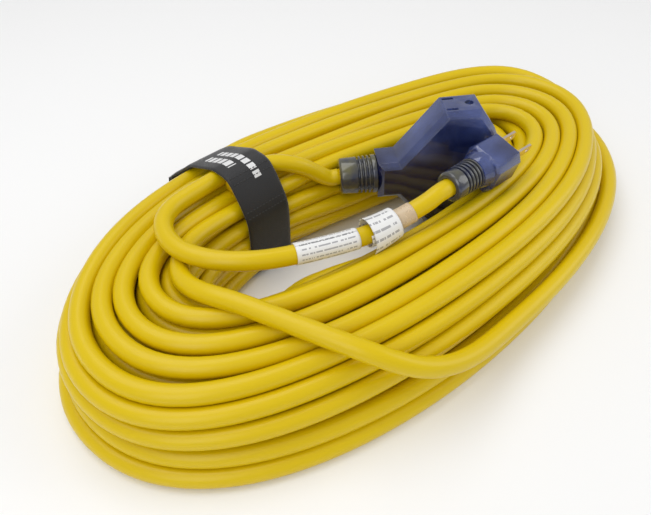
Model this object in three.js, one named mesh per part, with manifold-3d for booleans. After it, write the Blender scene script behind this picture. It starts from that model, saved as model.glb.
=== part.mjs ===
// A heavy three-wire extension cord, coiled in a long oval and tied with a hook-and-loop strap.
// Millimetres, +Z up. The coil lies on z = 0 with its long side along X.
import * as THREE from "three";
import { mergeVertices } from "three/addons/utils/BufferGeometryUtils.js";
import Module from "manifold-3d";

const wasm = await Module();
wasm.setup();

// ---------------------------------------------------------------- driving dimensions
const gap = 0.3; // air kept between neighbouring pieces
const cordRadius = 5.4; // jacket of a cord with three 12 gauge conductors
const conductorRadius = 1.75; // one insulated conductor

const coil = {
  height: 57,
  roundness: 2.2, // exponent of the oval: 2 is an ellipse, more is squarer
  lower: { halfLength: 212, halfWidth: 116, centre: [2, 0], from: 0, to: 32, chamfer: 7 },
  upper: { halfLength: 210, halfWidth: 109, centre: [2, 5], from: 20, to: 57, chamfer: 12 },
  hole: { halfLength: 112, halfWidth: 34, centre: [-14, -3], turn: -9, flare: 9 },
};

const strap = {
  centreX: -61,
  width: 32,
  thickness: 2,
  inside: 29, // Y of the strap's inner run, in the hole of the coil
  outside: 113,
  tailThickness: 1.6,
};

const tap = {
  place: [-3, 27, 44.5],
  heading: -38.5,
  pitch: 2,
  neckLength: 24,
  neckRadius: 12.6,
  collar: 13,
  shoulderStart: 37,
  shoulderEnd: 64.5,
  wingEnd: 87,
  length: 103,
  halfSpan: 46,
  thickness: 25,
  bevel: 3.5,
  wall: 4,
  wingOutlet: 69.2, // where the blades of the two side outlets go in, along the axis
  frontOutlet: 5, // height of the front outlet's blades
};

const plug = {
  place: [7, -49.3, 70],
  heading: -4,
  roll: 15,
  neckLength: 21,
  neckRadius: 9.6,
  jacketEnd: 26,
  shoulder: 28,
  length: 50,
  bridge: 8,
  bladeHeight: 4,
};

// Spacing and sizes of a standard 15 A blade-and-pin pattern.
const bladeSpacing = 12.7;
const bladeWidth = 6.35;
const bladeThickness = 1.52;
const bladeLength = 17.5;
const pinOffset = 11.9;
const pinRadius = 2.4;
const pinLength = 21.4;

// ---------------------------------------------------------------- materials
function paint(color, roughness, metalness = 0) {
  return new THREE.MeshStandardMaterial({ color, roughness, metalness });
}

const yellowJacket = paint(0xd8be10, 0.32);
const blueVinyl = paint(0x26326e, 0.3);
const clearBlock = paint(0xb9c6dc, 0.35);
const brass = paint(0xc9a24a, 0.3, 1);
const nickel = paint(0xc8bfb0, 0.28, 1);
const blackWebbing = paint(0x141414, 0.55);
const blackHook = paint(0x1b1b1b, 0.85);
const blackThread = paint(0x2c2c2c, 0.7);
const whiteVinyl = paint(0xe9e6e6, 0.5);
const beigeTape = paint(0xd8c3a4, 0.35);
const lampGlass = paint(0xe8c9a0, 0.15);
const resistorBody = paint(0xcbb48c, 0.6);
const blackInsulation = paint(0x1a1a1c, 0.45);
const whiteInsulation = paint(0xe6e4de, 0.45);
const greenInsulation = paint(0x1f7a3c, 0.45);

// ---------------------------------------------------------------- helpers
const assembly = new THREE.Group();

function addPart(parent, name, geometry, material) {
  const mesh = new THREE.Mesh(geometry, material);
  mesh.name = name;
  parent.add(mesh);
  return mesh;
}

function toSolid(geometry) {
  const bare = geometry.clone();
  bare.deleteAttribute("normal");
  bare.deleteAttribute("uv");
  const merged = mergeVertices(bare, 1e-4);
  return new wasm.Manifold(
    new wasm.Mesh({
      numProp: 3,
      vertProperties: new Float32Array(merged.attributes.position.array),
      triVerts: new Uint32Array(merged.index.array),
    }),
  );
}

function toGeometry(manifold) {
  const mesh = manifold.getMesh();
  const geometry = new THREE.BufferGeometry();
  geometry.setAttribute("position", new THREE.BufferAttribute(mesh.vertProperties, 3));
  geometry.setIndex(new THREE.BufferAttribute(mesh.triVerts, 1));
  return geometry;
}

function outlineShape(points) {
  return new THREE.Shape(points.map(([x, y]) => new THREE.Vector2(x, y)));
}

// A flat plate whose outline lies in the XZ plane, between two values of y.
function plateXZ(points, yLow, yHigh) {
  const geometry = new THREE.ExtrudeGeometry(outlineShape(points), {
    depth: yHigh - yLow,
    bevelEnabled: false,
  });
  geometry.rotateX(Math.PI / 2);
  geometry.translate(0, yHigh, 0);
  return geometry;
}

function box(x0, x1, y0, y1, z0, z1) {
  const geometry = new THREE.BoxGeometry(x1 - x0, y1 - y0, z1 - z0);
  geometry.translate((x0 + x1) / 2, (y0 + y1) / 2, (z0 + z1) / 2);
  return geometry;
}

function solidBox(...sides) {
  return toSolid(box(...sides));
}

function rod(radius, length, sides = 20) {
  const geometry = new THREE.CylinderGeometry(radius, radius, length, sides);
  geometry.rotateZ(-Math.PI / 2);
  geometry.translate(length / 2, 0, 0);
  return geometry;
}

function turned(profile, sides = 24) {
  const geometry = new THREE.LatheGeometry(
    profile.map(([along, radius]) => new THREE.Vector2(radius, along)),
    sides,
  );
  geometry.rotateZ(-Math.PI / 2);
  return geometry;
}

function union(solids) {
  return solids.reduce((whole, next) => whole.add(next));
}

function cut(whole, solids) {
  return solids.reduce((left, next) => left.subtract(next), whole);
}

function discShape(radius, sides) {
  const corners = Array.from({ length: sides }, (_, i) => (2 * Math.PI * i) / sides);
  return corners.map((turn) => [radius * Math.cos(turn), radius * Math.sin(turn)]);
}

function curveThrough(points) {
  return new THREE.CatmullRomCurve3(
    points.map((point) => new THREE.Vector3(...point)),
    false,
    "centripetal",
  );
}

function tubeAlong(points, radius, steps, sides = 12) {
  return new THREE.ExtrudeGeometry(outlineShape(discShape(radius, sides)), {
    steps,
    extrudePath: curveThrough(points),
    bevelEnabled: false,
  });
}

function sleeveAlong(points, innerRadius, outerRadius, steps = 3) {
  const shape = outlineShape(discShape(outerRadius, 16));
  shape.holes.push(new THREE.Path(outlineShape(discShape(innerRadius, 16)).getPoints()));
  return new THREE.ExtrudeGeometry(shape, {
    steps,
    extrudePath: curveThrough(points),
    bevelEnabled: false,
  });
}

// ---------------------------------------------------------------- coil of cord
function ovalOutline({ halfLength, halfWidth, centre }) {
  const power = 2 / coil.roundness;
  return Array.from({ length: 56 }, (_, i) => {
    const c = Math.cos((2 * Math.PI * i) / 56);
    const s = Math.sin((2 * Math.PI * i) / 56);
    return [
      centre[0] + halfLength * Math.sign(c) * Math.abs(c) ** power,
      centre[1] + halfWidth * Math.sign(s) * Math.abs(s) ** power,
    ];
  });
}

function chamferedSlab(outline, from, to, chamfer) {
  const geometry = new THREE.ExtrudeGeometry(outlineShape(outline), {
    depth: to - from - 2 * chamfer,
    bevelThickness: chamfer,
    bevelSize: chamfer,
    bevelOffset: -chamfer,
    bevelSegments: 1,
  });
  geometry.translate(0, 0, from + chamfer);
  return toSolid(geometry);
}

function coilTier(tier) {
  return chamferedSlab(ovalOutline(tier), tier.from, tier.to, tier.chamfer);
}

function holeOutline(margin) {
  const { halfLength, halfWidth } = coil.hole;
  const radius = halfWidth + margin;
  const straight = halfLength - halfWidth;
  const shape = new THREE.Shape();
  shape.absarc(straight, 0, radius, -Math.PI / 2, Math.PI / 2, false);
  shape.absarc(-straight, 0, radius, Math.PI / 2, 1.5 * Math.PI, false);
  return shape.getPoints(12).map((point) => [point.x, point.y]);
}

function coilHole() {
  const { centre, turn, flare } = coil.hole;
  const shaft = toSolid(
    new THREE.ExtrudeGeometry(outlineShape(holeOutline(0)), {
      depth: coil.height + 10,
      bevelEnabled: false,
    }),
  ).translate([0, 0, -5]);
  const mouth = chamferedSlab(
    holeOutline(flare + 0.5),
    coil.height - flare,
    coil.height + flare + 1,
    flare + 0.5,
  );
  return shaft.add(mouth).rotate([0, 0, turn]).translate([centre[0], centre[1], 0]);
}

// Outline of the strap across the rear run, in Y and Z, moved outwards by a margin.
function strapOutline(margin) {
  const inner = strap.inside + strap.thickness - margin;
  const outer = strap.outside - strap.thickness + margin;
  const top = coil.height + gap + margin;
  const bottom = strap.thickness + 0.2 - margin;
  const corner = 0.4 * margin;
  return [
    [inner, bottom + 10 + corner],
    [inner + 10 + corner, bottom],
    [outer - 8 - corner, bottom],
    [outer, bottom + 8 + corner],
    [outer, 38 + corner],
    [outer - 24 - corner, top],
    [inner + 14 + corner, top],
    [inner, top - 14 - corner],
  ];
}

function acrossRun(shape, width) {
  const geometry = new THREE.ExtrudeGeometry(shape, { depth: width, bevelEnabled: false });
  geometry.applyMatrix4(
    new THREE.Matrix4().set(0, 0, 1, strap.centreX - width / 2, 1, 0, 0, 0, 0, 1, 0, 0, 0, 0, 0, 1),
  );
  return geometry;
}

// The rear run is squeezed into the strap, so nothing of the coil is left outside it there.
const squeezedWidth = strap.width + 2 * gap;
const squeezedRun = toSolid(acrossRun(outlineShape(strapOutline(-gap)), squeezedWidth));
const runLeft = strap.centreX - squeezedWidth / 2;
const wholeRun = solidBox(runLeft, runLeft + squeezedWidth, 0, 140, -1, coil.height + 10);
const strapRoom = wholeRun.subtract(squeezedRun);
// Loose stretches of the same cord, each a plain tube that starts square to the fitting.
const onTop = coil.height + gap + cordRadius;

function behind(fitting, distance) {
  const turn = THREE.MathUtils.degToRad(fitting.heading);
  const [x, y, z] = fitting.place;
  return [x - distance * Math.cos(turn), y - distance * Math.sin(turn), z];
}

const plugLeadPoints = [
  behind(plug, gap),
  behind(plug, 8),
  [-10.6, -47.2, 67.3],
  [-27.4, -42, 62.6],
  [-50.5, -35.6, 60],
  [-86, -20.5, 60.3],
  [-107, -9, 62],
  [-121.5, 6.5, onTop],
  [-128, 26, onTop],
  [-123, 45, onTop],
  [-108, 56, onTop],
  [strap.centreX - strap.width / 2 - 1, 57.5, onTop],
];
addPart(assembly, "plug_lead", tubeAlong(plugLeadPoints, cordRadius, 44), yellowJacket);

const tapLeadPoints = [
  [strap.centreX + strap.width / 2 + 4, 52, onTop + 0.2],
  [-27, 41, 57.5],
  behind(tap, 8),
  behind(tap, gap),
];
addPart(assembly, "tap_lead", tubeAlong(tapLeadPoints, cordRadius, 9), yellowJacket);

const crossingPoints = [
  [-137, -6, 61],
  [-132, -18, onTop],
  [-124, -36, onTop + 0.4],
  [-115, -58, onTop + 0.4],
  [-107, -77, onTop + 0.8],
  [-99, -92, 62.5],
  [-88, -105, 56],
];
addPart(assembly, "crossing_cord", tubeAlong(crossingPoints, cordRadius, 14), yellowJacket);

// The turns give way under the fittings, the tags and the tap's lead, so each has its seat.
const plugSeat = solidBox(-3, plug.length + 2, -15, 15, -14, 20)
  .rotate([plug.roll, 0, plug.heading])
  .translate(plug.place);
const tapSeat = toSolid(rod(tap.neckRadius + 1.5, tap.shoulderStart + 3, 20))
  .translate([-2, 0, 0])
  .add(toSolid(plateXZ(tapOutline(-1.5), -tap.thickness / 2 - 1.5, tap.thickness / 2 + 1.5)))
  .rotate([0, -tap.pitch, tap.heading])
  .translate(tap.place);
const coilSolid = cut(coilTier(coil.lower).add(coilTier(coil.upper)), [
  coilHole(),
  strapRoom,
  toSolid(tubeAlong(crossingPoints, cordRadius + 0.6, 14)),
  plugSeat,
  tapSeat,
  toSolid(tubeAlong(tapLeadPoints, cordRadius + 1, 9)),
  toSolid(tubeAlong(plugLeadPoints.slice(0, 6), cordRadius + 4.6, 16)),
]);
const coilPieces = coilSolid.decompose().sort((one, other) => other.volume() - one.volume());
addPart(assembly, "cord_coil", toGeometry(coilPieces[0]), yellowJacket);

// ---------------------------------------------------------------- tags on the plug's lead
const labelPoints = plugLeadPoints.slice(4, 6);
addPart(
  assembly,
  "wrap_label",
  sleeveAlong(labelPoints, cordRadius + 1.1, cordRadius + 1.5, 1),
  whiteVinyl,
);

function curledTag(innerRadius, thickness, length) {
  const start = -0.35 * Math.PI;
  const sweep = 1.7 * Math.PI;
  const shape = new THREE.Shape();
  shape.absarc(0, 0, innerRadius + thickness, start, start + sweep, false);
  shape.absarc(0, 0, innerRadius, start + sweep, start, true);
  return new THREE.ExtrudeGeometry(shape, { depth: length, curveSegments: 14, bevelEnabled: false });
}

const flagTag = addPart(assembly, "flag_tag", curledTag(8.6, 0.5, 21), whiteVinyl);
flagTag.position.set(-48.5, -36.3, 60.6);
flagTag.rotation.set(0, Math.PI / 2 - 0.11, THREE.MathUtils.degToRad(-15), "ZYX");

const tapePoints = [
  [-27.4, -42, 62.6],
  [-21.5, -44.1, 64.1],
];
addPart(
  assembly,
  "clear_tape",
  sleeveAlong(tapePoints, cordRadius + 1.0, cordRadius + 1.3, 1),
  beigeTape,
);

// ---------------------------------------------------------------- strap
const bandShape = outlineShape(strapOutline(strap.thickness));
bandShape.holes.push(new THREE.Path(outlineShape(strapOutline(0)).getPoints()));
addPart(assembly, "strap_band", acrossRun(bandShape, strap.width), blackWebbing);

const tailTop = 36;
const strapBack = strap.outside;
const strapGroup = new THREE.Group();
strapGroup.position.set(strap.centreX, strapBack, tailTop);
assembly.add(strapGroup);

const hookDepth = 1.0;
const tailOut = gap + hookDepth + gap;
addPart(
  strapGroup,
  "strap_hook_patch",
  box(-14, 14, gap, gap + hookDepth, -24, -3),
  blackHook,
);
addPart(
  strapGroup,
  "strap_tail",
  box(
    -strap.width / 2,
    strap.width / 2,
    tailOut,
    tailOut + strap.tailThickness,
    -tailTop + 7,
    0,
  ),
  blackWebbing,
);

function threadRow(z) {
  return solidBox(-13, 13, 0, 0.5, z, z + 0.6);
}
const stitchBase = tailOut + strap.tailThickness + 0.12;
const stitchRows = union([
  solidBox(-13.6, -13, 0, 0.5, -24, -3),
  ...[-24, -18.8, -13.6, -8.4, -3.6].map(threadRow),
]);
const stitches = addPart(strapGroup, "strap_stitching", toGeometry(stitchRows), blackThread);
stitches.position.set(0, stitchBase, 0);

// ---------------------------------------------------------------- shared end fittings
// A ribbed relief round the cord where it enters a moulding.
function ribbedRelief(length, backRadius, frontRadius, grooves, firstGroove) {
  const bore = cordRadius + gap;
  const radiusAt = (along) => backRadius + ((frontRadius - backRadius) * along) / length;
  const outside = [[0, radiusAt(0) - 1.2], [1.2, radiusAt(1.2)]];
  for (let i = 0; i < grooves; i++) {
    const at = firstGroove + i * 2.7;
    outside.push([at, radiusAt(at)], [at + 0.1, radiusAt(at) - 1.8]);
    outside.push([at + 1.2, radiusAt(at) - 1.8], [at + 1.3, radiusAt(at + 1.3)]);
  }
  outside.push([length, radiusAt(length)]);
  return turned([[0, bore], ...outside, [length, bore], [0, bore]]);
}

// Three insulated conductors that leave the cut end of the jacket and run to the metal.
function addConductors(group, prefix, start, blackSide, ends) {
  const fan = [
    ["black", blackInsulation, 2.2 * blackSide, 1.4],
    ["white", whiteInsulation, -2.2 * blackSide, 1.4],
    ["green", greenInsulation, 0, -2.6],
  ];
  fan.forEach(([colour, material, y, z], i) => {
    const [endX, endY, endZ] = ends[i];
    const route = [[start, y, z], [start + 2, y, z], [endX - 2, endY, endZ], [endX, endY, endZ]];
    addPart(group, `${prefix}_${colour}_wire`, tubeAlong(route, conductorRadius, 8, 10), material);
    const crimp = addPart(group, `${prefix}_${colour}_crimp`, rod(1.9, 4, 12), brass);
    crimp.position.set(endX + 2 * gap, endY, endZ);
  });
}

// ---------------------------------------------------------------- triple outlet
const tapGroup = new THREE.Group();
tapGroup.position.set(...tap.place);
tapGroup.rotation.set(
  0,
  THREE.MathUtils.degToRad(-tap.pitch),
  THREE.MathUtils.degToRad(tap.heading),
  "ZYX",
);
assembly.add(tapGroup);

// Half of the fan-shaped outline, drawn in by a margin, then mirrored for the other half.
function tapOutline(margin, rear = tap.neckLength + gap) {
  const upper = [
    [rear + margin, tap.collar - margin],
    [tap.shoulderStart + 0.45 * margin, tap.collar - margin],
    [tap.shoulderEnd + 0.45 * margin, tap.halfSpan - margin],
    [tap.wingEnd - 0.4 * margin, tap.halfSpan - margin],
    [tap.length - 7 - 0.9 * margin, tap.halfSpan - 13 - 0.4 * margin],
    [tap.length - margin, tap.collar + 4.5 - 0.6 * margin],
  ];
  return [...upper, ...upper.map(([x, z]) => [x, -z]).reverse()];
}

const tapBlank = new THREE.ExtrudeGeometry(outlineShape(tapOutline(0)), {
  depth: tap.thickness - 2 * tap.bevel,
  bevelThickness: tap.bevel,
  bevelSize: tap.bevel,
  bevelOffset: -tap.bevel,
  bevelSegments: 1,
});
tapBlank.rotateX(Math.PI / 2);
tapBlank.translate(0, tap.thickness / 2 - tap.bevel, 0);

const halfPitch = bladeSpacing / 2;
const slotWide = bladeThickness + 0.5;
const slotLong = bladeWidth + 0.8;
const pinBore = pinRadius + 0.3;

// Blade slots and pin hole of one outlet, as cutting tools that point outward along +X.
function outletTools(depth) {
  const pinHole = toSolid(rod(pinBore, depth, 16)).translate([0, 0, -pinOffset]);
  return [-halfPitch, halfPitch]
    .map((y) => solidBox(0, depth, y - slotWide / 2, y + slotWide / 2, -slotLong / 2, slotLong / 2))
    .concat([pinHole]);
}

const outletDepth = tap.wall + 4;
const frontTools = outletTools(outletDepth).map((tool) =>
  tool.translate([tap.length - tap.wall - 2, 0, tap.frontOutlet]),
);
// The side outlets have the pin hole towards the front of the block.
const upperTools = outletTools(outletDepth).map((tool) =>
  tool.rotate([0, -90, 0]).translate([tap.wingOutlet, 0, tap.halfSpan - tap.wall - 2]),
);
const lowerTools = upperTools.map((tool) => tool.mirror([0, 0, 1]));
const allOutletTools = [...frontTools, ...upperTools, ...lowerTools];

const cavityHalf = 9.1;
const tapCavity = toSolid(plateXZ(tapOutline(tap.wall, 26), -cavityHalf, cavityHalf));
const jacketBore = toSolid(rod(cordRadius + gap, 12, 24)).translate([tap.neckLength - 1, 0, 0]);
const tapBody = cut(toSolid(tapBlank), [tapCavity, jacketBore, ...allOutletTools]);
addPart(tapGroup, "tap_body", toGeometry(tapBody), blueVinyl);
addPart(
  tapGroup,
  "tap_strain_relief",
  ribbedRelief(tap.neckLength, tap.neckRadius - 0.8, tap.neckRadius, 4, 11.5),
  blueVinyl,
);
addPart(tapGroup, "tap_jacket_end", rod(cordRadius, 31, 12), yellowJacket);

// The insulator has one compartment for each conductor, all open to the rear.
const frameRear = 44;
const frameInset = tap.wall + gap;
const frameOutline = tapOutline(frameInset, 26).filter(([x]) => x > frameRear);
frameOutline.push([frameRear, -24.3], [frameRear, 24.3]);
const tapFrameBlank = toSolid(plateXZ(frameOutline, -8.8, 8.8)).intersect(
  toSolid(plateXZ(tapOutline(frameInset, 26), -8.8, 8.8)),
);
function compartment(yLow, yHigh) {
  const wide = tapOutline(frameInset + 2, 26);
  return toSolid(plateXZ(wide, yLow, yHigh));
}
const tapFrame = cut(tapFrameBlank, [
  compartment(4.3, 9.4),
  compartment(-9.4, -4.3),
  compartment(-3.7, 3.7),
  ...allOutletTools,
]);
addPart(tapGroup, "tap_inner_frame", toGeometry(tapFrame), clearBlock);

// Hot and neutral contacts: a strip with three spring leaves, mirrored for the other side.
function contactStrip() {
  const wing = tap.wingOutlet;
  const top = tap.halfSpan - tap.wall - 4.4;
  const front = tap.length - tap.wall - 3.2;
  const z0 = tap.frontOutlet - 3.2;
  const z1 = tap.frontOutlet + 3.2;
  return union([
    solidBox(46, front, 7.6, 8.3, z0, z1),
    solidBox(wing - 2.9, wing + 2.9, 7.6, 8.3, -top, top),
    solidBox(front - 8, front, 4.6, 5.2, z0, z1),
    solidBox(front - 8, front - 7.2, 4.6, 8.3, z0, z1),
    solidBox(wing - 2.9, wing + 2.9, 4.6, 5.2, top - 8, top),
    solidBox(wing - 2.9, wing + 2.9, 4.6, 8.3, top - 8, top - 7.2),
    solidBox(wing - 2.9, wing + 2.9, 4.6, 5.2, -top, -top + 8),
    solidBox(wing - 2.9, wing + 2.9, 4.6, 8.3, -top + 7.2, -top + 8),
  ]);
}
const hotStrip = contactStrip();
addPart(tapGroup, "tap_hot_contacts", toGeometry(hotStrip), brass);
addPart(tapGroup, "tap_neutral_contacts", toGeometry(hotStrip.mirror([0, 1, 0])), brass);

// Earth strip with a round sleeve behind each pin hole.
function groundContacts() {
  const pinAt = tap.wingOutlet + pinOffset;
  const top = tap.halfSpan - tap.wall - 7;
  const front = tap.length - tap.wall - 3.2;
  const level = tap.frontOutlet - pinOffset;
  const sleeve = cut(toSolid(rod(3.4, 9, 16)), [toSolid(rod(pinRadius, 12, 16)).translate([-1, 0, 0])]);
  const upright = sleeve.rotate([0, -90, 0]).translate([pinAt, 0, top - 9]);
  return union([
    solidBox(46, front - 8, -0.5, 0.5, level - 3, level + 3),
    solidBox(pinAt - 3, pinAt + 3, -0.5, 0.5, -top + 8, top - 8),
    upright,
    upright.mirror([0, 0, 1]),
    sleeve.translate([front - 9, 0, level]),
  ]);
}
addPart(tapGroup, "tap_ground_contacts", toGeometry(groundContacts()), brass);

const tapLamp = addPart(tapGroup, "tap_lamp", turned([[0, 0], [0, 2.2], [6, 2.2], [8, 1], [8, 0]], 12), lampGlass);
tapLamp.position.set(57, 0, 21);
const tapResistor = addPart(tapGroup, "tap_resistor", rod(1.4, 6.5, 10), resistorBody);
tapResistor.position.set(54, 0, -22);

addConductors(tapGroup, "tap", 31 + 2 * gap, 1, [
  [40, 6.6, 4],
  [40, -6.6, 4],
  [40, 0, -6.5],
]);

// ---------------------------------------------------------------- plug
const plugGroup = new THREE.Group();
plugGroup.position.set(...plug.place);
plugGroup.rotation.set(
  THREE.MathUtils.degToRad(plug.roll),
  0,
  THREE.MathUtils.degToRad(plug.heading),
  "ZYX",
);
assembly.add(plugGroup);

const plugSection = [
  [12.5, -6.5],
  [12.5, 6.5],
  [9, 11.5],
  [-9, 11.5],
  [-12.5, 6.5],
  [-12.5, -6.5],
  [-9, -13],
  [9, -13],
];
const plugBevel = 1.5;
const plugBlank = new THREE.ExtrudeGeometry(outlineShape(plugSection), {
  depth: plug.length - plug.shoulder - 2 * plugBevel,
  bevelThickness: plugBevel,
  bevelSize: plugBevel,
  bevelOffset: -plugBevel,
  bevelSegments: 1,
});
plugBlank.applyMatrix4(
  new THREE.Matrix4().set(0, 0, 1, plug.shoulder + plugBevel, 1, 0, 0, 0, 0, 1, 0, 0, 0, 0, 0, 1),
);
const plugRear = plug.neckLength + gap;
const plugCone = toSolid(
  turned([[plugRear, 0], [plugRear, 9.8], [plug.shoulder + 1, 11.6], [plug.shoulder + 1, 0]], 24),
);
const plugCavity = solidBox(plug.shoulder + 0.5, plug.length + 1, -8.8, 8.8, -11.5, 8.5);
const plugBore = toSolid(rod(cordRadius + gap, 12, 24)).translate([plug.neckLength - 1, 0, 0]);
const plugBody = cut(toSolid(plugBlank).add(plugCone), [plugCavity, plugBore]);
addPart(plugGroup, "plug_body", toGeometry(plugBody), blueVinyl);
addPart(
  plugGroup,
  "plug_strain_relief",
  ribbedRelief(plug.neckLength, plug.neckRadius - 0.6, plug.neckRadius, 5, 8),
  blueVinyl,
);
addPart(plugGroup, "plug_jacket_end", rod(cordRadius, plug.jacketEnd, 12), yellowJacket);

// The bridge closes the front of the moulding and holds the blades and the pin.
const bridgeRear = plug.length - plug.bridge;
const pinHeight = plug.bladeHeight - pinOffset;
const bladeRoom = bladeThickness / 2 + gap;
const bridgeSlots = [-halfPitch, halfPitch].map((y) =>
  solidBox(
    bridgeRear - 1,
    plug.length + 1,
    y - bladeRoom,
    y + bladeRoom,
    plug.bladeHeight - bladeWidth / 2 - gap,
    plug.bladeHeight + bladeWidth / 2 + gap,
  ),
);
const pinSlot = toSolid(rod(pinRadius + gap, 14, 20)).translate([bridgeRear - 1, 0, pinHeight]);
const bridge = cut(solidBox(bridgeRear, plug.length, -8.5, 8.5, -11.2, 8.2), [
  ...bridgeSlots,
  pinSlot,
]);
addPart(plugGroup, "plug_bridge", toGeometry(bridge), clearBlock);

const bladeRear = bridgeRear - 1.5;
const bladeTip = plug.length + bladeLength;
const bladeTop = plug.bladeHeight + bladeWidth / 2;
const bladeBottom = plug.bladeHeight - bladeWidth / 2;
const bladeShape = outlineShape([
  [bladeRear, bladeBottom],
  [bladeTip - 1.6, bladeBottom],
  [bladeTip, bladeBottom + 1.4],
  [bladeTip, bladeTop - 1.4],
  [bladeTip - 1.6, bladeTop],
  [bladeRear, bladeTop],
]);
const tipHole = new THREE.Path();
tipHole.absarc(bladeTip - 4.2, plug.bladeHeight, 1.6, 0, 2 * Math.PI, true);
bladeShape.holes.push(tipHole);

function blade(y) {
  const geometry = new THREE.ExtrudeGeometry(bladeShape, {
    depth: bladeThickness,
    curveSegments: 8,
    bevelEnabled: false,
  });
  geometry.rotateX(Math.PI / 2);
  geometry.translate(0, y + bladeThickness / 2, 0);
  return geometry;
}
addPart(plugGroup, "plug_neutral_blade", blade(halfPitch), nickel);
addPart(plugGroup, "plug_hot_blade", blade(-halfPitch), nickel);

const pinTip = plug.length + pinLength;
const pin = addPart(
  plugGroup,
  "plug_ground_pin",
  turned(
    [
      [bladeRear, 0],
      [bladeRear, pinRadius],
      [pinTip - 2.2, pinRadius],
      [pinTip - 0.7, pinRadius * 0.75],
      [pinTip, pinRadius * 0.3],
      [pinTip, 0],
    ],
    16,
  ),
  nickel,
);
pin.position.set(0, 0, pinHeight);

addConductors(plugGroup, "plug", plug.jacketEnd + 2 * gap, -1, [
  [bladeRear - 5, -halfPitch, plug.bladeHeight - 0.6],
  [bladeRear - 5, halfPitch, plug.bladeHeight - 0.6],
  [bladeRear - 5, 0, pinHeight],
]);

const plugLamp = addPart(plugGroup, "plug_lamp", turned([[0, 0], [0, 1.9], [5, 1.9], [6.4, 0.9], [6.4, 0]], 12), lampGlass);
plugLamp.position.set(30, 0, 6.2);
const plugResistor = addPart(plugGroup, "plug_resistor", rod(1.1, 5, 10), resistorBody);
plugResistor.position.set(31, 0, 1.2);

// ---------------------------------------------------------------- stand the assembly on the floor
const whole = new THREE.Group();
whole.add(assembly);
whole.updateMatrixWorld(true);
const bounds = new THREE.Box3().setFromObject(whole, true);
const middle = bounds.getCenter(new THREE.Vector3());
assembly.position.set(-middle.x, -middle.y, -bounds.min.z);

export default whole;
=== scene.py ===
import math

import bmesh
import bpy
import numpy as np
from mathutils import Matrix, Vector


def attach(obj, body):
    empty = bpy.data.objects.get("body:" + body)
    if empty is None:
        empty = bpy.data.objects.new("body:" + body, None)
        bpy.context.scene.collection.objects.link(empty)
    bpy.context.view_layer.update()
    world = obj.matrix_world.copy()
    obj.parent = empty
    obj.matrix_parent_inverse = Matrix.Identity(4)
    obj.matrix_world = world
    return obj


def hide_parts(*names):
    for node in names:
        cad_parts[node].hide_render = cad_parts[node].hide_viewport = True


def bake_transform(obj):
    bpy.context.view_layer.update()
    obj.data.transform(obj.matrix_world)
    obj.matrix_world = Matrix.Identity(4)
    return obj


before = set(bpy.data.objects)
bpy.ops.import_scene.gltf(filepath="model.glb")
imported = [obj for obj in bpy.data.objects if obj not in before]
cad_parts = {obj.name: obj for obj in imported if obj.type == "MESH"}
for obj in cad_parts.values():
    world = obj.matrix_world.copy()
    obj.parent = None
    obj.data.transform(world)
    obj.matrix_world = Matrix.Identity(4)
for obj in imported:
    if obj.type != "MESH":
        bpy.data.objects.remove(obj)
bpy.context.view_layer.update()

mm = 0.001
layoutShift = np.array([-2.0, -0.41, 0.0])  # from the layout of the parts to the row's frame, in mm
up = np.array([0.0, 0.0, 1.0])
scene = bpy.context.scene


def place(points):
    return (np.asarray(points, float) + layoutShift) * mm


def unit(vectors):
    return vectors / np.linalg.norm(vectors, axis=-1, keepdims=True)


def ease(value):
    value = np.clip(value, 0, 1)
    return value * value * (3 - 2 * value)


# The camera, lights and floor.
camera = {
    "from": (-244.19, -201.82, 282.02),
    "at": (-30.34, 12.03, 0.0),
    "lens": 34.29,
}


def makeCamera():
    data = bpy.data.cameras.new("camera")
    data.lens = camera["lens"]
    data.sensor_width = 36
    holder = bpy.data.objects.new("camera", data)
    start, end = Vector(place(camera["from"])), Vector(place(camera["at"]))
    holder.location = start
    holder.rotation_euler = (end - start).to_track_quat("-Z", "Y").to_euler()
    scene.collection.objects.link(holder)
    scene.camera = holder


def makeLight(name, where, size, power, aim=(0, 0, 0)):
    data = bpy.data.lights.new(name, "AREA")
    data.shape = "RECTANGLE"
    data.size, data.size_y = size
    data.energy = power
    holder = bpy.data.objects.new(name, data)
    holder.location = where
    holder.rotation_euler = (Vector(aim) - Vector(where)).to_track_quat("-Z", "Y").to_euler()
    scene.collection.objects.link(holder)


makeCamera()
makeLight("softboxTop", (-0.15, 0.35, 1.2), (1.3, 0.9), 9.0)
makeLight("softboxLeft", (-1.0, -0.5, 0.8), (0.6, 1.0), 5.0)
makeLight("softboxRight", (0.9, -0.7, 0.7), (0.7, 0.9), 4.0)
world = bpy.data.worlds.new("studio")
scene.world = world
world.use_nodes = True
world.node_tree.nodes["Background"].inputs["Color"].default_value = (1, 1, 1, 1)
world.node_tree.nodes["Background"].inputs["Strength"].default_value = 0.62
scene.view_settings.view_transform = "Standard"
scene.view_settings.exposure = -0.3


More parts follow.
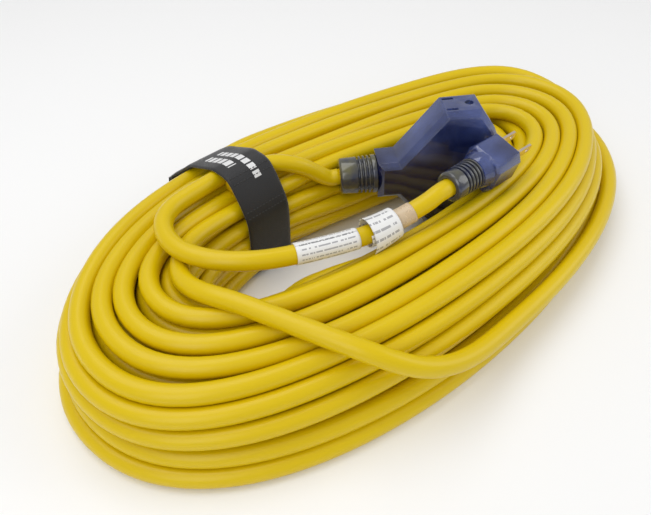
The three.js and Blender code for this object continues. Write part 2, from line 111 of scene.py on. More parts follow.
# The finishes. Each is a function that takes a Sheet and gives the sockets that vary.
class Wire:
    # A node's output, so that sums on it add Math nodes.
    def __init__(self, sheet, socket):
        self.sheet = sheet
        self.socket = socket

    def maths(self, operation, *others):
        values = {i: other for i, other in enumerate((self, *others))}
        return self.sheet.node("ShaderNodeMath", {"operation": operation}, values)

    def __add__(self, other):
        return self.maths("ADD", other)

    def __mul__(self, other):
        return self.maths("MULTIPLY", other)

    def __sub__(self, other):
        return self.maths("SUBTRACT", other)

    def __truediv__(self, other):
        return self.maths("DIVIDE", other)

    def __rsub__(self, other):
        return self.sheet.node("ShaderNodeMath", {"operation": "SUBTRACT"}, {0: other, 1: self})

    def __gt__(self, other):
        return self.maths("GREATER_THAN", other)

    def __lt__(self, other):
        return self.maths("LESS_THAN", other)

    __radd__ = __add__
    __rmul__ = __mul__


class Sheet:
    # The node tree of one finish.
    def __init__(self, tree):
        self.tree = tree

    def node(self, kind, settings=None, sockets=None, output=0):
        made = self.tree.nodes.new(kind)
        for name, value in (settings or {}).items():
            if name == "stops":
                self.setStops(made.color_ramp, value)
            else:
                setattr(made, name, value)
        for name, value in (sockets or {}).items():
            if isinstance(value, Wire):
                self.tree.links.new(value.socket, made.inputs[name])
            else:
                made.inputs[name].default_value = value
        if not made.outputs:
            return None
        return Wire(self, made.outputs[output])

    def setStops(self, ramp, stops):
        while len(ramp.elements) < len(stops):
            ramp.elements.new(0.5)
        for element, (position, colour) in zip(ramp.elements, stops):
            element.position = position
            element.color = (*colour, 1)

    def coordinates(self, output="Object"):
        return self.node("ShaderNodeTexCoord", output=output)

    def noise(self, scale, detail=3.0, vector=None):
        sockets = {"Scale": scale, "Detail": detail}
        sockets["Vector"] = vector or self.coordinates()
        return self.node("ShaderNodeTexNoise", None, sockets)

    def mix(self, factor, first, second):
        sockets = {"Factor": factor, 6: first, 7: second}
        return self.node("ShaderNodeMix", {"data_type": "RGBA"}, sockets, output=2)

    def bump(self, height, strength, distance):
        return self.node(
            "ShaderNodeBump", None, {"Height": height, "Strength": strength, "Distance": distance}
        )


def colour(red, green, blue):
    return (red, green, blue, 1)


def finish(name, build, **plain):
    material = bpy.data.materials.new(name)
    material.use_nodes = True
    tree = material.node_tree
    surface = tree.nodes["Principled BSDF"]
    for socket, value in plain.items():
        surface.inputs[socket.replace("_", " ")].default_value = value
    for socket, wire in build(Sheet(tree)).items():
        tree.links.new(wire.socket, surface.inputs[socket])
    return material


def floorFinish(sheet):
    return {"Roughness": 0.55 + 0.05 * sheet.noise(30.0)}


def jacketFinish(sheet):
    broad = sheet.noise(9.0, 4.0)
    fine = sheet.noise(900.0, 2.0)
    scuffs = sheet.noise(160.0, 5.0)
    return {
        "Base Color": sheet.mix(broad, colour(0.66, 0.46, 0.0), colour(0.74, 0.54, 0.001)),
        "Roughness": 0.27 + 0.12 * scuffs,
        "Normal": sheet.bump(fine * 0.4 + scuffs, 0.10, 0.0004),
    }


def vinylFinish(dark, light, patches, rise):
    # Cloudy tint, with painted light: paler towards the top, where light comes through.
    def build(sheet):
        apart = sheet.node("ShaderNodeSeparateXYZ", None, {0: sheet.coordinates()}, output=2)
        cloud = sheet.noise(patches, 3.0)
        grain = sheet.noise(700.0, 2.0)
        # painted light: paleness grows with height by rise, on top of the random cloud tint
        cloudAndPaintedTopLight = ((cloud - 0.42) * 2.4 + (apart - 0.062) * rise).maths("MINIMUM", 1.0)
        return {
            "Base Color": sheet.mix(cloudAndPaintedTopLight.maths("MAXIMUM", 0.0), colour(*dark), colour(*light)),
            "Roughness": 0.12 + 0.16 * grain,
            "Normal": sheet.bump(grain + cloud, 0.10, 0.0003),
        }

    return build


def plainFinish(low, high, scale, roughness, spread, strength):
    def build(sheet):
        grain = sheet.noise(scale, 3.0)
        return {
            "Base Color": sheet.mix(grain, colour(*low), colour(*high)),
            "Roughness": roughness + spread * grain,
            "Normal": sheet.bump(grain, strength, 0.0003),
        }

    return build


finishes = {
    "floor": finish("paleFloor", floorFinish, Base_Color=colour(0.93, 0.93, 0.93)),
    "jacket": finish("yellowJacket", jacketFinish, Specular_IOR_Level=0.34),
    # for vinyl and neck the last number, rise, sets the painted light that makes their tops paler
    "vinyl": finish(
        "blueVinyl", vinylFinish((0.012, 0.022, 0.13), (0.16, 0.23, 0.62), 34.0, 16.0),
        Transmission_Weight=0.6, IOR=1.5, Coat_Weight=1.0, Coat_Roughness=0.08,
    ),
    "neck": finish(
        "vinylOverJacket", vinylFinish((0.022, 0.028, 0.06), (0.16, 0.145, 0.035), 60.0, 4.0),
        Coat_Weight=0.8, Coat_Roughness=0.12,
    ),
}
nickel = plainFinish((0.74, 0.60, 0.48), (0.86, 0.76, 0.66), 400.0, 0.2, 0.2, 0.1)
brass = plainFinish((0.72, 0.50, 0.22), (0.80, 0.60, 0.30), 500.0, 0.25, 0.2, 0.1)
frosted = plainFinish((0.70, 0.76, 0.90), (0.86, 0.90, 0.97), 300.0, 0.35, 0.2, 0.2)
finishes["nickel"] = finish("nickelPlate", nickel, Metallic=1.0)
finishes["brass"] = finish("brassStrip", brass, Metallic=1.0)
finishes["block"] = finish("milkyBlock", frosted, Transmission_Weight=0.35)
finishes["lamp"] = finish(
    "lampGlass", plainFinish((0.95, 0.72, 0.62), (1.0, 0.84, 0.78), 300.0, 0.1, 0.1, 0.05)
)
finishes["resistor"] = finish(
    "resistorBody", plainFinish((0.50, 0.33, 0.20), (0.62, 0.44, 0.28), 500.0, 0.4, 0.2, 0.1)
)
for shade, low, high in (
    ("black", (0.01, 0.01, 0.01), (0.025, 0.025, 0.025)),
    ("white", (0.75, 0.75, 0.72), (0.85, 0.85, 0.82)),
    ("green", (0.01, 0.18, 0.05), (0.02, 0.26, 0.08)),
):
    finishes[shade] = finish(f"{shade}Insulation", plainFinish(low, high, 500.0, 0.3, 0.2, 0.1))


def webbingFinish(sheet):
    # u runs across the band and v along it, in metres; light bars stand for a woven label.
    apart = sheet.node("ShaderNodeSeparateXYZ", None, {0: sheet.coordinates("UV")})
    across, along = apart, Wire(sheet, apart.socket.node.outputs[1])
    weave = (across * 5200.0).maths("SINE") * (along * 3600.0).maths("SINE")
    wear = sheet.noise(300.0, 4.0)
    bars = ((along * 185.0).maths("FRACT") > 0.24) * (along > 0.050) * (along < 0.090)
    thin = (across > 0.001) * (across < 0.006)
    thick = (across > -0.0085) * (across < -0.0025) * (along > 0.064)
    mark = bars * (thin + thick)
    cloth = sheet.mix(wear, colour(0.006, 0.006, 0.007), colour(0.018, 0.018, 0.020))
    return {
        "Base Color": sheet.mix(mark * 0.92, cloth, colour(0.80, 0.80, 0.80)),
        "Roughness": 0.45 + 0.25 * wear,
        "Normal": sheet.bump(weave * 0.6 + wear, 0.35, 0.0003),
    }


finishes["webbing"] = finish("blackWebbing", webbingFinish, Sheen_Weight=0.25, Sheen_Roughness=0.4)
finishes["thread"] = finish(
    "stitchThread", plainFinish((0.02, 0.02, 0.021), (0.05, 0.05, 0.052), 900.0, 0.5, 0.2, 0.3)
)
finishes["hooks"] = finish(
    "hookPile", plainFinish((0.01, 0.01, 0.011), (0.03, 0.03, 0.031), 1500.0, 0.6, 0.2, 0.9)
)


def labelFinish(sheet):
    # Grey bars stand for lines of small print.
    # v runs along the cord, in metres, and u round it, in turns.
    apart = sheet.node("ShaderNodeSeparateXYZ", None, {0: sheet.coordinates("UV")})
    around = apart
    along = Wire(sheet, apart.socket.node.outputs[1])
    rows = (around * 13.0).maths("FRACT")
    words = sheet.noise(1.0, 0.0, sheet.node(
        "ShaderNodeCombineXYZ", None, {0: (around * 13.0).maths("FLOOR") * 7.3, 1: along * 900.0}
    ))
    ink = (rows > 0.42) * (rows < 0.72) * (words > 0.42)
    inside = (along > 0.0025) * (along < 0.0335)
    grain = sheet.noise(500.0, 2.0)
    paper, grey = colour(0.82, 0.82, 0.81), colour(0.25, 0.25, 0.27)
    return {
        "Base Color": sheet.mix(ink * inside * 0.75, paper, grey),
        "Roughness": 0.32 + 0.1 * grain,
        "Normal": sheet.bump(grain, 0.08, 0.0003),
    }


finishes["label"] = finish("whiteLabel", labelFinish)
finishes["tape"] = finish(
    "clearTape",
    plainFinish((0.74, 0.55, 0.34), (0.84, 0.68, 0.47), 260.0, 0.2, 0.15, 0.3),
    Transmission_Weight=0.25,
)


# Meshes along a path.
def meshPiece(name, vertices, faces, material, uvs=None, smooth=True):
    data = bpy.data.meshes.new(name)
    data.from_pydata([tuple(v) for v in vertices], [], [tuple(f) for f in faces])
    if uvs is not None:
        layer = data.uv_layers.new(name="UVMap")
        loops = np.empty(len(data.loops), int)
        data.loops.foreach_get("vertex_index", loops)
        layer.data.foreach_set("uv", np.asarray(uvs, float)[loops].ravel())
    data.polygons.foreach_set("use_smooth", [smooth] * len(data.polygons))
    data.materials.append(material)
    piece = bpy.data.objects.new(name, data)
    scene.collection.objects.link(piece)
    return piece


def distances(points):
    steps = np.linalg.norm(np.diff(points, axis=0), axis=1)
    return np.concatenate([[0], np.cumsum(steps)])


def evenly(points, spacing):
    run = distances(points)
    count = max(3, int(round(run[-1] / spacing)) + 1)
    at = np.linspace(0, run[-1], count)
    return np.column_stack([np.interp(at, run, points[:, axis]) for axis in range(3)])


def curveThrough(points, spacing):
    # Catmull-Rom through the points, then even steps.
    points = np.asarray(points, float)
    padded = np.vstack([2 * points[0] - points[1], points, 2 * points[-1] - points[-2]])
    t = np.linspace(0, 1, 24, endpoint=False)[:, None]
    parts = []
    for a, b, c, d in zip(padded, padded[1:], padded[2:], padded[3:]):
        parts.append(
            0.5 * (2 * b + (c - a) * t + (2 * a - 5 * b + 4 * c - d) * t**2
                   + (3 * b - a - 3 * c + d) * t**3)
        )
    return evenly(np.vstack([*parts, points[-1:]]), spacing)


def tubeRings(path, radius, sides, turnBy=0.0):
    tangent = unit(np.gradient(path, axis=0))
    side = unit(np.cross(tangent, up))
    lift = np.cross(side, tangent)
    angles = np.linspace(0, 2 * np.pi, sides, endpoint=False) + turnBy
    radius = np.broadcast_to(radius, (len(path), sides))
    return (
        path[:, None]
        + radius[..., None] * np.cos(angles)[None, :, None] * side[:, None]
        + radius[..., None] * np.sin(angles)[None, :, None] * lift[:, None]
    )


def tubePiece(name, path, radius, sides, material):
    # A closed tube with rounded ends; path is in metres.
    tangent = unit(np.gradient(path, axis=0))
    dome = 0.25 * radius
    body = tubeRings(path, radius, sides)
    first = path[0] + (body[0] - path[0]) * 0.85 - tangent[0] * dome
    last = path[-1] + (body[-1] - path[-1]) * 0.85 + tangent[-1] * dome
    rings = np.concatenate([first[None], body, last[None]])
    count = len(rings)
    vertices = rings.reshape(-1, 3)
    i, j = np.meshgrid(np.arange(count - 1), np.arange(sides), indexing="ij")
    k = (j + 1) % sides
    quads = np.stack([i * sides + j, i * sides + k, (i + 1) * sides + k, (i + 1) * sides + j], -1)
    faces = quads.reshape(-1, 4).tolist()
    faces.append(list(range(sides))[::-1])
    faces.append([(count - 1) * sides + s for s in range(sides)])
    return meshPiece(name, vertices, faces, material)


# The fittings' places, in mm and degrees.
tap = {"at": (-3, 27, 44.5), "heading": -38.5, "pitch": 2.0, "neck": 24.0, "neckRadius": 12.6}
plug = {"at": (7, -49.3, 70), "heading": -4.0, "roll": 15.0, "neck": 21.0, "neckRadius": 9.6}


def turned(roll=0.0, pitch=0.0, heading=0.0):
    r, p, h = (math.radians(v) for v in (roll, pitch, heading))
    return np.array(
        (Matrix.Rotation(h, 3, "Z") @ Matrix.Rotation(-p, 3, "Y") @ Matrix.Rotation(r, 3, "X"))
    )


tapTurn = turned(0.0, tap["pitch"], tap["heading"])
plugTurn = turned(plug["roll"], 0.0, plug["heading"])


def behind(fitting, distance):
    turn = math.radians(fitting["heading"])
    x, y, z = fitting["at"]
    return (x - distance * math.cos(turn), y - distance * math.sin(turn), z)


# The cord: its size, and the routes of the parts that aren't coiled, in mm.
cord = {
    "diameter": 10.8,
    "onTop": 62.7,  # height of a cord's middle when it lies on the coil
    "sides": 16,
}
cordRadius = cord["diameter"] / 2
onTop = cord["onTop"]
plugRoute = [
    behind(plug, 0.3), behind(plug, 8),
    (-10.6, -47.2, 67.3), (-27.4, -42, 62.6), (-50.5, -35.6, 60),
    (-86, -20.5, 60.3), (-107, -9, 62), (-121.5, 6.5, onTop), (-128, 26, onTop), (-123, 45, onTop),
    (-108, 56, onTop), (-78, 59.5, onTop), (-64, 61, onTop - 1),
]
tapRoute = [
    (-72, 48.5, onTop - 2), (-56, 50, onTop - 0.5), (-41, 49, onTop), (-25, 40.5, 57),
    behind(tap, 8), behind(tap, 0.3),
]
crossing = [
    (-138, 17, 56.5), (-139, -1, 60.5), (-132, -18, onTop), (-124, -36, onTop), (-115, -58, onTop),
    (-107, -77, onTop), (-99, -92, 61), (-88, -104.5, 53.5), (-70, -113.5, 45), (-46, -117, 39),
]
plugPath = curveThrough(plugRoute, 3.0)
tapPath = curveThrough(tapRoute, 3.0)

coil = {
    "outer": (206.6, 110.6),  # the outermost turn's centreline, half length and half width
    "outerCentre": (2.0, 0.0),
    "inner": (116.0, 39.4),
    "innerCentre": (-14.0, -3.0),
    "innerTurn": -9.0,
    # rows in each layer, from the floor up, and how many rows it stands in from the outside
    "rows": [(7, 1.1), (7, 0.4), (7, 0.4), (6, 1.0), (5, 1.5), (5, 2.0)],
    "rowsAcross": 6,  # row steps between the outer and inner ovals
    "roundness": (2.2, 2.6),  # powers of the outer and inner ovals
    "lean": 0.6,  # how far upper layers move out again at the two ends
    "spread": {"middle": 4.5, "width": 0.4, "share": 0.24, "below": 22},
    "start": 107,  # degrees round from +X; the first end is under the strap
    "end": 150,
    "step": 2,
    "moveOver": 76,  # degrees that a step from row to row takes
    "lastTurn": {"from": 266, "to": 467, "inset": -0.075, "height": 35.5},
    "rise": 9.35,
    "spacing": 6.0,
    "wander": 2.6,
    "seed": 11,
    "rounds": 330,
}
strap = {"at": -61.0, "width": 32.0, "inside": 31.0, "outside": 111.0, "top": 57.3, "bottom": 1.8}


def oval(theta, half, centre, power, turn=0.0):
    c, s = np.cos(theta), np.sin(theta)
    x = half[0] * np.sign(c) * np.abs(c) ** (2 / power)
    y = half[1] * np.sign(s) * np.abs(s) ** (2 / power)
    t = math.radians(turn)
    return np.column_stack([
        centre[0] + x * math.cos(t) - y * math.sin(t),
        centre[1] + x * math.sin(t) + y * math.cos(t),
    ])


def turnPoints(theta, inset, height, lean):
    outerPower, innerPower = coil["roundness"]
    outer = oval(theta, coil["outer"], coil["outerCentre"], outerPower)
    inner = oval(theta, coil["inner"], coil["innerCentre"], innerPower, coil["innerTurn"])
    share = inset - coil["lean"] * lean * np.cos(theta) ** 4
    # the lowest rows spread into the hole beside the strap
    spread = coil["spread"]
    near = np.exp(-((theta % (2 * np.pi) - spread["middle"]) / spread["width"]) ** 2)
    low = np.clip((spread["below"] - height) / 6, 0, 1)
    share = share * (1 + spread["share"] * near * low)
    plan = outer * (1 - share[:, None]) + inner * share[:, None]
    return np.column_stack([plan, height])


def windCoil():
    # Rows run in and out by turns, one layer on the other, and move over at the right end.
    rows = []
    for layer, (count, inset) in enumerate(coil["rows"]):
        order = range(count - 1, -1, -1) if layer % 2 == 0 else range(count)
        for row in order:
            height = cordRadius + layer * coil["rise"]
            rows.append(((row + inset) / coil["rowsAcross"], height, inset / coil["rowsAcross"]))
    rows = np.array(rows)
    step = math.radians(coil["step"])
    end = 2 * math.pi * (len(rows) - 1) + math.radians(coil["end"])
    theta = np.arange(math.radians(coil["start"]), end, step)
    at = theta / (2 * math.pi)
    index = np.floor(at + 0.5).astype(int)
    move = ease((at - index) * 360 / coil["moveOver"] + 0.5)
    before = rows[np.clip(index - 1, 0, None)]
    after = rows[np.clip(index, 0, len(rows) - 1)]
    inset, height, lean = (before + (after - before) * move[:, None]).T
    chance = np.random.default_rng(coil["seed"])
    wave = sum(
        np.sin(theta * rate + chance.uniform(0, 6.28)) for rate in (0.43, 1.37, 2.61, 3.83)
    )
    inset = inset + wave * coil["wander"] / 300
    path = turnPoints(theta, inset, height, lean)
    last = coil["lastTurn"]
    theta = np.arange(math.radians(last["from"]), math.radians(last["to"]), step)
    level = np.ones(len(theta))
    outside = turnPoints(theta, last["inset"] * level, last["height"] * level, 0 * level)
    over = curveThrough(crossing, 6.0)
    return evenly(np.vstack([path, over, outside]), coil["spacing"])


def softened(points, window):
    kernel = np.hanning(window + 2)[1:-1]
    kernel /= kernel.sum()
    wide = np.pad(points, ((window // 2, window // 2), (0, 0)), "edge")
    return np.column_stack([np.convolve(wide[:, axis], kernel, "valid") for axis in range(3)])


def closePairs(points, reach, skip):
    found = []
    for start in range(0, len(points), 600):
        block = points[start:start + 600]
        gap = ((block[:, None] - points[None]) ** 2).sum(-1)
        i, j = np.nonzero(gap < reach**2)
        keep = j > i + start + skip
        found.append(np.column_stack([i[keep] + start, j[keep]]))
    return np.vstack(found)


def pushFromBox(points, origin, turn, low, high):
    low, high = np.array(low, float) - cordRadius, np.array(high, float) + cordRadius
    local = (points - origin) @ turn
    inside = np.all((local > low) & (local < high), axis=1)
    if not inside.any():
        return
    depths = np.concatenate([local[inside] - low, high - local[inside]], axis=1)
    nearest = depths.argmin(axis=1)
    shift = np.zeros((inside.sum(), 3))
    rows = np.arange(len(nearest))
    shift[rows, nearest % 3] = np.where(nearest < 3, -1, 1) * depths[rows, nearest]
    points[inside] += 0.5 * shift @ turn.T


fittingBoxes = [
    (tap["at"], tapTurn, (-1, -11, -11), (24, 11, 11)),
    (tap["at"], tapTurn, (24, -12.5, -17), (46, 12.5, 17)),
    (tap["at"], tapTurn, (46, -12.5, -32), (62, 12.5, 32)),
    (tap["at"], tapTurn, (62, -12.5, -46), (92, 12.5, 46)),
    (tap["at"], tapTurn, (92, -12.5, -26), (103, 12.5, 26)),
    (plug["at"], plugTurn, (-1, -8, -8), (21, 8, 8)),
    (plug["at"], plugTurn, (20, -12.5, -12.5), (50, 12.5, 11.5)),
    (plug["at"], plugTurn, (50, -8, -10.5), (68, 8, 7.5)),
]


def strapPlanes():
    # The strap's inside as half planes in Y and Z: point, then the way out.
    low, high, top, bottom = strap["inside"], strap["outside"], strap["top"], strap["bottom"]
    return [
        ((low, 20), (-1, 0)), ((high, 20), (1, 0)), ((60, top), (0, 1)), ((60, bottom), (0, -1)),
        ((high, 38), (19, 24)), ((low, top - 14), (-1, 1)),
    ]


settle = {
    "check": 12,  # rounds between fresh searches for neighbours
    "near": 7,  # mm past a diameter at which two points count as neighbours
    "skip": 4,  # points of the same turn that never push each other
    "crowd": 0.45,
    "sink": 0.06,  # mm a round, until the calm rounds
    "calmRounds": 40,
    "firmRounds": 12,
    "smoothing": (0.35, 0.2),  # in the ordinary rounds and the last firm ones
    "hold": (0.985, 0.997),  # how well the lowest turns and the others keep their shift
    "slide": 0.6,  # share of a shift along the cord that is taken away
    "tagRadius": 9.4,
}


def settleCoil(base):
    # The turns sink until they lie beside and on each other, about a diameter apart.
    fixed = np.vstack([evenly(plugPath, 5.5), evenly(tapPath, 5.5)])
    wide = np.full(len(fixed), cordRadius)
    onTag = (fixed[:, 0] > -52) & (fixed[:, 0] < -24) & (fixed[:, 1] < 0)
    wide[onTag] = settle["tagRadius"]
    count = len(base)
    radius = np.concatenate([np.full(count, cordRadius), wide])
    points = base.copy()
    planes = strapPlanes()
    alongBase = unit(np.gradient(base, axis=0))
    for turn in range(coil["rounds"]):
        whole = np.vstack([points, fixed])
        if turn % settle["check"] == 0:
            pairs = closePairs(whole, cord["diameter"] + settle["near"], settle["skip"])
            pairs = pairs[pairs[:, 0] < count]
            first, second = pairs.T
            least = radius[first] + radius[second]
        away = whole[first] - whole[second]
        gap = np.linalg.norm(away, axis=1) + 1e-6
        overlap = np.clip(least - gap, 0, None)
        push = away / gap[:, None] * (0.5 * overlap)[:, None]
        touching = (overlap > 0).astype(float)
        size = len(whole)
        moved = np.column_stack([
            np.bincount(first, push[:, axis], size) - np.bincount(second, push[:, axis], size)
            for axis in range(3)
        ])
        crowd = np.bincount(first, touching, size) + np.bincount(second, touching, size)
        points += (moved / np.maximum(1, settle["crowd"] * crowd)[:, None])[:count]
        points[:, 2] -= settle["sink"] if turn < coil["rounds"] - settle["calmRounds"] else 0.0
        under = np.clip(1.3 - np.abs(points[:, 0] - strap["at"]) / 26, 0, 1) * (points[:, 1] > 0)
        points[:, 2] = np.maximum(points[:, 2], cordRadius + strap["bottom"] * ease(under))
        for (y, z), out in planes:
            way = np.array(out) / math.hypot(*out)
            depth = (points[:, 1] - y) * way[0] + (points[:, 2] - z) * way[1] + cordRadius
            depth = np.clip(depth, 0, None) * ease(under)
            points[:, 1:] -= 0.5 * depth[:, None] * way
        for origin, turnMatrix, low, high in fittingBoxes:
            pushFromBox(points, np.array(origin, float), turnMatrix, low, high)
        drift = points - base
        share = settle["smoothing"][int(turn >= coil["rounds"] - settle["firmRounds"])]
        for reach in (1, 3):
            around = 0.5 * (np.roll(drift, reach, 0) + np.roll(drift, -reach, 0))
            around[:reach], around[-reach:] = drift[:reach], drift[-reach:]
            drift += share * (around - drift)
        drift[:, :2] *= np.where(base[:, 2:] < 12, *settle["hold"])
        drift -= settle["slide"] * (drift * alongBase).sum(axis=1)[:, None] * alongBase
        points = base + drift
    return points


base = softened(windCoil(), 7)
print("coil wound:", len(base), "points,", round(distances(base)[-1] / 1000, 2), "m")
coilPath = settleCoil(base)
smoothPath = softened(evenly(coilPath, coil["spacing"]), 5)
coilCord = tubePiece(
    "coilCord", place(smoothPath), cordRadius * mm, cord["sides"], finishes["jacket"]
)
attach(coilCord, "coil")
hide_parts("cord_coil", "crossing_cord")


# The two leads. Each bends from the coil to its fitting at the neck.
def lead(name, route, stands):
    path = place(route)
    piece = tubePiece(name, path, cordRadius * mm, cord["sides"], finishes["jacket"])
    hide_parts(stands)
    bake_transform(piece)
    return piece, path


plugLead, plugLeadPath = lead("plugLead", plugPath, "plug_lead")
tapLead, tapLeadPath = lead("tapLead", tapPath, "tap_lead")


# The tags wound on the plug's lead.
def stretch(path, start, end):
    # The part of a path from nearest start to nearest end.
    near = [np.linalg.norm(path - np.array(point), axis=1).argmin() for point in (start, end)]
    return evenly(path[min(near):max(near) + 1], 1.0)


def woundSheet(name, path, radii, turns, startAngle, thickness, material, sway=0.0):
    # A strip wound round a path; its radius runs from one value to the other, in mm.
    across, steps = len(path), 64
    angle = startAngle + np.linspace(0, turns * 2 * np.pi, steps)
    radius = np.linspace(radii[0], radii[1], steps)
    tangent = unit(np.gradient(path, axis=0))
    side = unit(np.cross(tangent, up))
    lift = np.cross(side, tangent)
    where = np.linspace(-1, 1, across)
    shells = []
    for extra in (0.0, thickness):
        wide = radius[None] + extra + sway * where[:, None] * np.linspace(0, 1, steps)[None] ** 2
        shells.append(
            path[:, None]
            + (wide * np.cos(angle))[..., None] * side[:, None]
            + (wide * np.sin(angle))[..., None] * lift[:, None]
        )
    vertices = np.concatenate([shells[1].reshape(-1, 3), shells[0].reshape(-1, 3)])
    half = across * steps
    faces = []
    for i in range(across - 1):
        for j in range(steps - 1):
            a, d = i * steps + j, (i + 1) * steps + j
            b, c = a + 1, d + 1
            faces += [(a, b, c, d), (half + a, half + d, half + c, half + b)]
    for i in range(across - 1):
        for j, swap in ((0, False), (steps - 1, True)):
            a, d = i * steps + j, (i + 1) * steps + j
            quad = (a, d, half + d, half + a)
            faces.append(quad[::-1] if swap else quad)
    for j in range(steps - 1):
        for i, swap in ((0, True), (across - 1, False)):
            a, b = i * steps + j, i * steps + j + 1
            quad = (a, b, half + b, half + a)
            faces.append(quad[::-1] if swap else quad)
    around = np.tile(np.linspace(0, turns, steps), across)
    along = np.repeat(distances(path) * mm, steps)
    uvs = np.tile(np.column_stack([around, along]), (2, 1))
    piece = meshPiece(name, place(vertices), faces, material, uvs)
    flipOutwards(piece)
    return piece


def flipOutwards(piece):
    shape = bmesh.new()
    shape.from_mesh(piece.data)
    bmesh.ops.recalc_face_normals(shape, faces=shape.faces)
    shape.to_mesh(piece.data)
    shape.free()


wrapPath = stretch(plugPath, (-52.5, -35, 60), (-86, -20.5, 60.3))
wrapLabel = woundSheet("wrapLabel", wrapPath, (5.5, 5.9), 1.12, 0.9, 0.3, finishes["label"])
flagPath = stretch(plugPath, (-29.5, -41.6, 62.2), (-48.5, -36.3, 60.2))
flagTag = woundSheet("flagTag", flagPath, (6.2, 10.2), 1.2, 2.6, 0.4, finishes["label"], sway=1.2)
tapePath = stretch(plugPath, (-29.4, -41.4, 62.1), (-19.5, -44.8, 64.8))
clearTape = woundSheet("clearTape", tapePath, (5.5, 5.9), 1.3, 1.8, 0.25, finishes["tape"])
for piece, stands, words in (
    (wrapLabel, "wrap_label", "white_vinyl"),
    (flagTag, "flag_tag", "white_vinyl"),
    (clearTape, "clear_tape", "clear_tape"),
):
    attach(piece, "coil")
    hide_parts(stands)
print("leads and tags made")


# The strap: its section runs along these points in Y and Z, in mm.
strapProfile = [
    (30, 18), (30, 38), (31.5, 47), (37, 57.3), (44.4, 66.9), (49.5, 69.4), (56, 69.8),
    (61.5, 69.2),
    (75, 64), (87, 59), (97, 50.9), (107, 43), (111.9, 36.5), (112, 20), (111.7, 6), (108, 1.3),
    (98, 0.95), (70, 0.95), (45, 0.95), (34, 1.3), (30.3, 5),
]
tailProfile = [(114.3, 36.6), (115.3, 32), (115.4, 22), (115.4, 12), (115.8, 7.2)]
patchProfile = [(113.9, 33), (113.9, 22), (113.9, 12)]


def profilePath(profile, closed, spacing=1.5):
    points = np.array([(strap["at"], y, z) for y, z in profile], float)
    if not closed:
        return curveThrough(points, spacing)
    wrapped = np.vstack([points[-2:], points, points[:3]])
    path = curveThrough(wrapped, spacing)
    first = np.linalg.norm(path - points[0], axis=1)
    half = len(path) // 2
    start, end = first[:half].argmin(), half + first[half:].argmin()
    return path[start:end]


def ribbon(name, path, width, thickness, material, closed, bow=0.0):
    # A woven band: its flat section runs along the path, with round selvedges.
    path = np.asarray(path)
    if closed:
        ahead, back = np.roll(path, -1, 0), np.roll(path, 1, 0)
        tangent = unit(ahead - back)
    else:
        tangent = unit(np.gradient(path, axis=0))
    outward = np.cross(np.array([1.0, 0, 0]), tangent)
    across = np.linspace(-1, 1, 17)
    lean = np.concatenate([across, across[::-1]])
    side = np.concatenate([np.ones(17), -np.ones(17)])
    thick = side * 0.5 * thickness * (1 - 0.55 * np.abs(lean) ** 8)
    ring = len(lean)
    lifted = thick[None] - bow * lean[None] ** 2
    vertices = path[:, None] + lifted[..., None] * outward[:, None]
    vertices[..., 0] += 0.5 * width * lean[None]
    count = len(path)
    faces = []
    for i in range(count if closed else count - 1):
        n = (i + 1) % count
        for j in range(ring):
            k = (j + 1) % ring
            faces.append((i * ring + j, i * ring + k, n * ring + k, n * ring + j))
    if not closed:
        faces.append(tuple(range(ring)))
        faces.append(tuple((count - 1) * ring + j for j in range(ring)))
    along = np.repeat(distances(path) * mm, ring)
    uvs = np.column_stack([np.tile(0.5 * width * lean * mm, count), along])
    piece = meshPiece(name, place(vertices.reshape(-1, 3)), faces, material, uvs)
    flipOutwards(piece)
    return piece


bandPath = profilePath(strapProfile, True)
band = ribbon("strapBand", bandPath, strap["width"], 1.6, finishes["webbing"], True)
tailPath = profilePath(tailProfile, False)
tail = ribbon("strapTail", tailPath, strap["width"], 1.6, finishes["webbing"], False)
patchPath = profilePath(patchProfile, False)
patch = ribbon("hookPatch", patchPath, 28, 1.1, finishes["hooks"], False)
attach(band, "coil")
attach(tail, "strap_tail")
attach(patch, "strap_tail")
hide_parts("strap_band")
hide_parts("strap_tail")
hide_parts("strap_hook_patch")


# The stitches, laid along seam lines by a node tree.
def stitchTree():
    tree = bpy.data.node_groups.new("stitches", "GeometryNodeTree")
    face = tree.interface
    face.new_socket("Geometry", in_out="INPUT", socket_type="NodeSocketGeometry")
    face.new_socket("Stitch length", in_out="INPUT", socket_type="NodeSocketFloat")
    face.new_socket("Thread radius", in_out="INPUT", socket_type="NodeSocketFloat")
    face.new_socket("Thread", in_out="INPUT", socket_type="NodeSocketMaterial")
    face.new_socket("Geometry", in_out="OUTPUT", socket_type="NodeSocketGeometry")
    sheet = Sheet(tree)
    entry = tree.nodes.new("NodeGroupInput")
    geometry, length, radius, thread = [Wire(sheet, entry.outputs[i]) for i in range(4)]
    curve = sheet.node("GeometryNodeMeshToCurve", None, {"Mesh": geometry})
    spaced = sheet.node(
        "GeometryNodeResampleCurve", {"mode": "LENGTH"}, {"Curve": curve, "Length": length}
    )
    tangent = sheet.node("GeometryNodeInputTangent")
    aim = sheet.node("FunctionNodeAlignRotationToVector", {"axis": "Z"}, {"Vector": tangent})
    bead = sheet.node(
        "GeometryNodeMeshUVSphere", None, {"Segments": 8, "Rings": 6, "Radius": radius}
    )
    long = sheet.node(
        "ShaderNodeCombineXYZ", None, {"X": 1.0, "Y": 1.0, "Z": length * 0.36 / radius}
    )
    laid = sheet.node(
        "GeometryNodeInstanceOnPoints", None,
        {"Points": spaced, "Instance": bead, "Rotation": aim, "Scale": long},
    )
    real = sheet.node("GeometryNodeRealizeInstances", None, {"Geometry": laid})
    done = sheet.node("GeometryNodeSetMaterial", None, {"Geometry": real, "Material": thread})
    leave = tree.nodes.new("NodeGroupOutput")
    tree.links.new(done.socket, leave.inputs[0])
    return tree


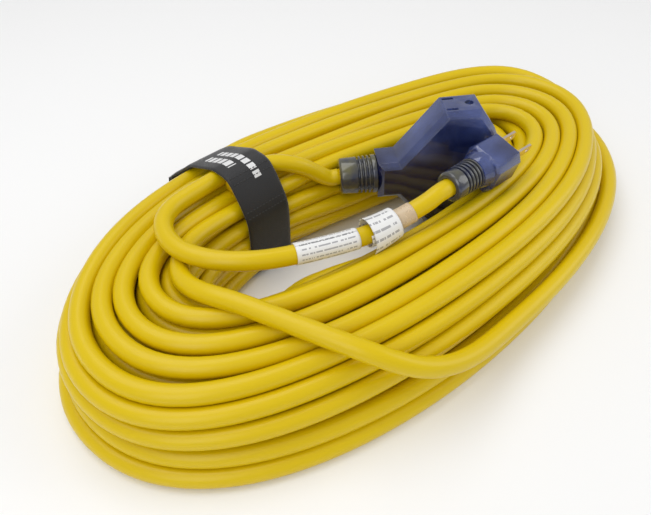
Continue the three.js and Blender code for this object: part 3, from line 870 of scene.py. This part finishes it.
def sewn(name, lines, length, radius, material):
    # lines are runs of points in metres
    vertices, edges = [], []
    for line in lines:
        first = len(vertices)
        vertices += [tuple(point) for point in line]
        edges += [(first + i, first + i + 1) for i in range(len(line) - 1)]
    data = bpy.data.meshes.new(name)
    data.from_pydata(vertices, edges, [])
    holder = bpy.data.objects.new(name, data)
    scene.collection.objects.link(holder)
    tree = stitchTree()
    step = holder.modifiers.new("stitches", "NODES")
    step.node_group = tree
    values = {"Stitch length": length, "Thread radius": radius, "Thread": material}
    for item in tree.interface.items_tree:
        if item.in_out == "INPUT" and item.name in values:
            step[item.identifier] = values[item.name]
    bpy.context.view_layer.update()
    ready = holder.evaluated_get(bpy.context.evaluated_depsgraph_get())
    plain = bpy.data.meshes.new_from_object(ready)
    bpy.data.objects.remove(holder)
    piece = bpy.data.objects.new(name, plain)
    scene.collection.objects.link(piece)
    return piece


def bandPoint(at, x):
    # A point on the outside of the strap, `at` mm along its path and x mm from its middle.
    run = distances(bandPath)
    centre = np.array([np.interp(at, run, bandPath[:, axis]) for axis in range(3)])
    ahead = np.array([np.interp(at + 0.5, run, bandPath[:, axis]) for axis in range(3)])
    outward = np.cross(np.array([1.0, 0, 0]), unit(ahead - centre))
    return place(centre + outward * stitch["lift"] + np.array([x, 0, 0]))


stitch = {
    "length": 0.0024,
    "thread": 0.00032,
    "lift": 0.85,
    "rows": [30, 34, 52, 56],  # mm along the strap from its foot in the hole
    "reach": 13.5,
}
sideSign = 1.0 if np.cross([1.0, 0, 0], bandPath[3] - bandPath[2])[1] < 0 else -1.0
stitch["lift"] *= sideSign
rowLines = [
    [bandPoint(at, x) for x in np.linspace(-stitch["reach"], stitch["reach"], 12)]
    for at in stitch["rows"]
]
bandStitches = sewn(
    "bandStitches", rowLines, stitch["length"], stitch["thread"], finishes["thread"]
)
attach(bandStitches, "coil")

corners = [(-12.5, 30.5), (12.5, 30.5), (12.5, 14.5), (-12.5, 14.5), (-12.5, 30.5)]
box = [place((strap["at"] + x, 116.3, z)) for x, z in corners]
tailStitches = sewn("tailStitches", [box], stitch["length"], stitch["thread"], finishes["thread"])
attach(tailStitches, "strap_tail")
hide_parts("strap_stitching")

# The fittings: finishes by material slot, and copies with broken edges.
bySlot = {
    "blue_vinyl": "vinyl", "yellow_jacket": "jacket", "clear_block": "block", "brass": "brass",
    "lamp_glass": "lamp", "resistor": "resistor", "black_insulation": "black",
    "white_insulation": "white", "green_insulation": "green", "nickel": "nickel",
}
for name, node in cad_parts.items():
    for holder in node.material_slots:
        own = holder.material.name.split(".")[0] if holder.material else ""
        if own in bySlot:
            holder.material = finishes[bySlot[own]]


def softCopy(name, body, width, material):
    # The same solid with its edges broken, shown in place of the sharp one.
    shape = bmesh.new()
    shape.from_mesh(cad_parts[name].data)
    bmesh.ops.remove_doubles(shape, verts=shape.verts, dist=1e-6)
    bmesh.ops.dissolve_limit(
        shape, angle_limit=math.radians(0.5), verts=shape.verts, edges=shape.edges
    )
    data = bpy.data.meshes.new(name + "Soft")
    shape.to_mesh(data)
    shape.free()
    holder = bpy.data.objects.new(name + "Soft", data)
    scene.collection.objects.link(holder)
    step = holder.modifiers.new("edges", "BEVEL")
    step.width = width
    step.segments = 3
    step.limit_method = "ANGLE"
    step.angle_limit = math.radians(25)
    bpy.context.view_layer.update()
    ready = holder.evaluated_get(bpy.context.evaluated_depsgraph_get())
    plain = bpy.data.meshes.new_from_object(ready)
    plain.polygons.foreach_set("use_smooth", [True] * len(plain.polygons))
    plain.set_sharp_from_angle(angle=math.radians(38))
    plain.materials.clear()
    plain.materials.append(material)
    holder.modifiers.clear()
    holder.data = plain
    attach(holder, body)
    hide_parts(name)
    return holder


for name, body, words, width, look in (
    ("tap_body", "tap", "blue_vinyl", 0.0011, "vinyl"),
    ("tap_strain_relief", "tap", "blue_vinyl", 0.0005, "neck"),
    ("plug_body", "plug", "blue_vinyl", 0.0009, "vinyl"),
    ("plug_strain_relief", "plug", "blue_vinyl", 0.0004, "neck"),
):
    softCopy(name, body, width, finishes[look])

floorMesh = meshPiece(
    "floor", [(-6, -6, 0), (6, -6, 0), (6, 6, 0), (-6, 6, 0)], [(0, 1, 2, 3)], finishes["floor"]
)
